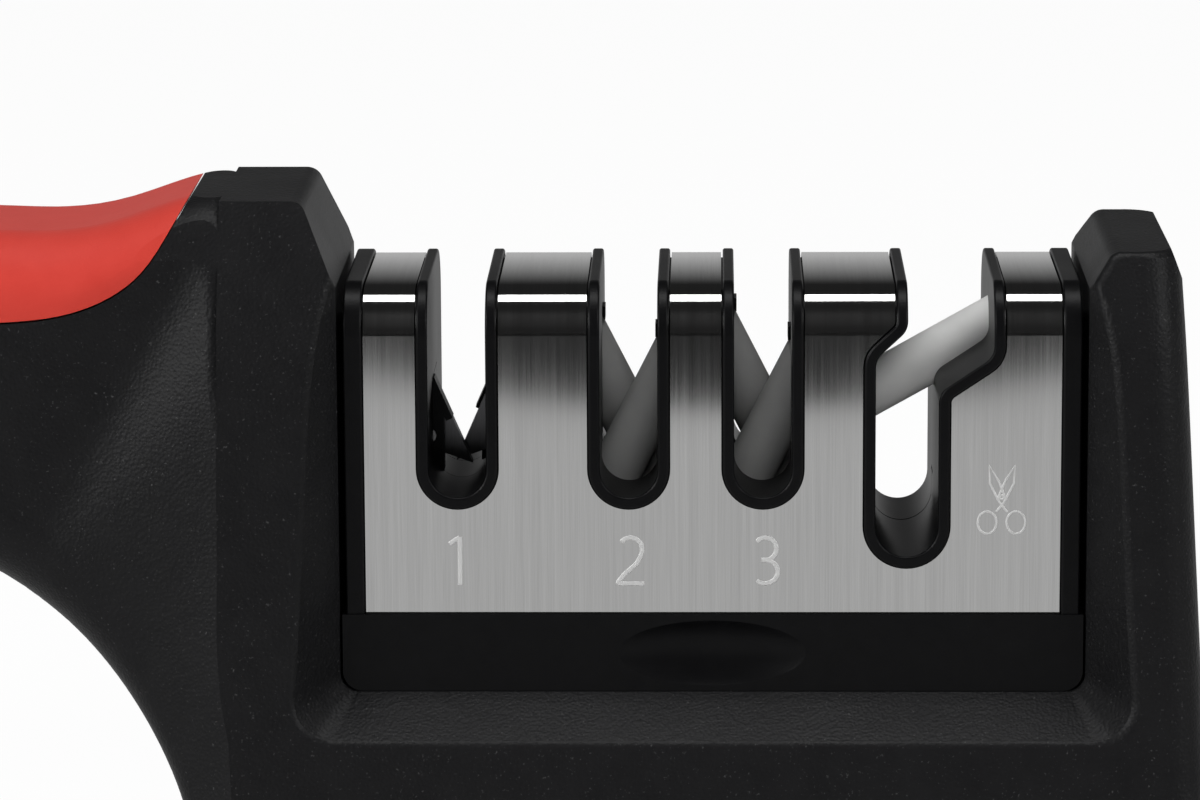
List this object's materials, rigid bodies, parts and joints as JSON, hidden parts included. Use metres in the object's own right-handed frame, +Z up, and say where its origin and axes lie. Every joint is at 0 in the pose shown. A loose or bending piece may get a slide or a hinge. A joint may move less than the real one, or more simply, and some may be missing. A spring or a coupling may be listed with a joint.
{
  "type": "pull through knife sharpener",
  "caption": "Hand-held pull through sharpener: a cantilever handle, a two-pillar head and a lift-out slotted cartridge with crossed blades, rods and a scissors slot.",
  "frame": {"origin": "on the standing surface, under the middle of the cartridge", "axes": "+X along the sharpener away from the handle, +Y from the front face to the back, +Z up"},
  "size_m": [0.2135, 0.0496, 0.0728],
  "materials": {
    "body_plastic": "fine grained moulded black plastic",
    "grip_red": "soft-touch red grip",
    "pad_rubber": "matte black rubber",
    "screw_steel": "zinc-plated steel",
    "cover_steel": "upright brushed stainless steel",
    "core_plastic": "satin black plastic",
    "carbide": "ground tungsten carbide",
    "rod_dark": "dark grey abrasive ceramic",
    "rod_ceramic": "light grey ceramic"
  },
  "bodies": {
    "body": {"main_body": "body_plastic", "grip_inlay": "grip_red", "base_plate": "body_plastic", "foot_pad": "pad_rubber", "base_screws": "screw_steel"},
    "cartridge": {"cover_plate": "cover_steel", "core_front": "core_plastic", "core_rear": "core_plastic", "cartridge_base": "core_plastic", "blade_holder": "core_plastic", "blade_front": "carbide", "blade_rear": "carbide", "blade_pins": "screw_steel", "stage_two_rod_front": "rod_dark", "stage_two_rod_rear": "rod_dark", "stage_three_rod_front": "rod_dark", "stage_three_rod_rear": "rod_dark", "scissor_rod": "rod_ceramic", "core_screws": "screw_steel", "cartridge_base_screws": "screw_steel"}
  },
  "joints": [
    {"name": "cartridge_lift", "type": "slide", "parent": "body", "child": "cartridge", "axis": [0, 0, 1], "range_m": [0, 0.055]}
  ]
}
